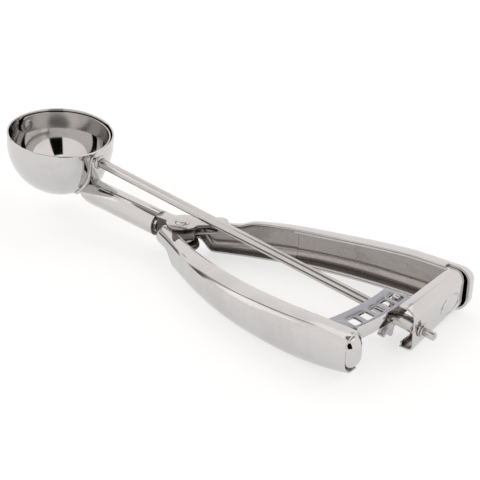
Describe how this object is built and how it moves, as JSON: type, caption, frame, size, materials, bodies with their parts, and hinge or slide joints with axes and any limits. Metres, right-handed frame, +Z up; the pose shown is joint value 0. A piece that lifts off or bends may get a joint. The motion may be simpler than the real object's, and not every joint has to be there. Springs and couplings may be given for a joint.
{
  "type": "lever ice cream scoop",
  "caption": "Squeeze-handle ice cream scoop with a half-round bowl, a geared sweeping blade and two sprung channel handles.",
  "frame": {"origin": "bottom centre of the bounding box, on the table under the middle of the scoop's length", "axes": "+X from the bowl to the rear of the handles, +Y towards the fixed handle, +Z up from the table"},
  "size_m": [0.2394, 0.0844, 0.0454],
  "materials": {
    "polished_steel": "polished stainless steel sheet",
    "satin_steel": "drawn and ground stainless steel",
    "machined_steel": "turned and stamped steel",
    "spring_wire": "drawn spring wire",
    "bronze_washer": "plain bronze"
  },
  "bodies": {
    "scoop_frame": {"bowl": "polished_steel", "bowl_bracket": "polished_steel", "front_bush": "machined_steel", "blade_pin": "satin_steel", "neck_tube": "polished_steel", "pivot_yoke": "polished_steel", "fixed_handle_shell": "polished_steel", "sleeve_arm": "polished_steel", "rear_bush": "machined_steel", "pivot_rivet": "satin_steel", "pivot_spacer": "machined_steel", "spring_coil": "spring_wire"},
    "moving_handle": {"moving_handle_shell": "polished_steel", "rack_arm": "polished_steel", "gear_rack": "polished_steel", "spring_moving_leg": "spring_wire"},
    "rod_assembly": {"drive_rod": "satin_steel", "pinion": "machined_steel", "thrust_washer": "bronze_washer", "retaining_clip": "machined_steel", "scraper_blade": "satin_steel"}
  },
  "joints": [
    {"name": "handle_squeeze", "type": "hinge", "parent": "scoop_frame", "child": "moving_handle", "pos_m": [-0.01354, 0, 0.0113], "axis": [0, 0, 1], "range_deg": [0, 12], "stiffness_Nm_per_rad": 1.5, "springref_deg": -17.19},
    {"name": "rod_spin", "type": "hinge", "parent": "scoop_frame", "child": "rod_assembly", "pos_m": [-0.09274, 0, 0.0364], "axis": [0.9912, 0, -0.1323], "range_deg": [-167, 0]}
  ],
  "couplings": [
    {"joint": "rod_spin", "follows": "handle_squeeze", "ratio": -13.775}
  ]
}
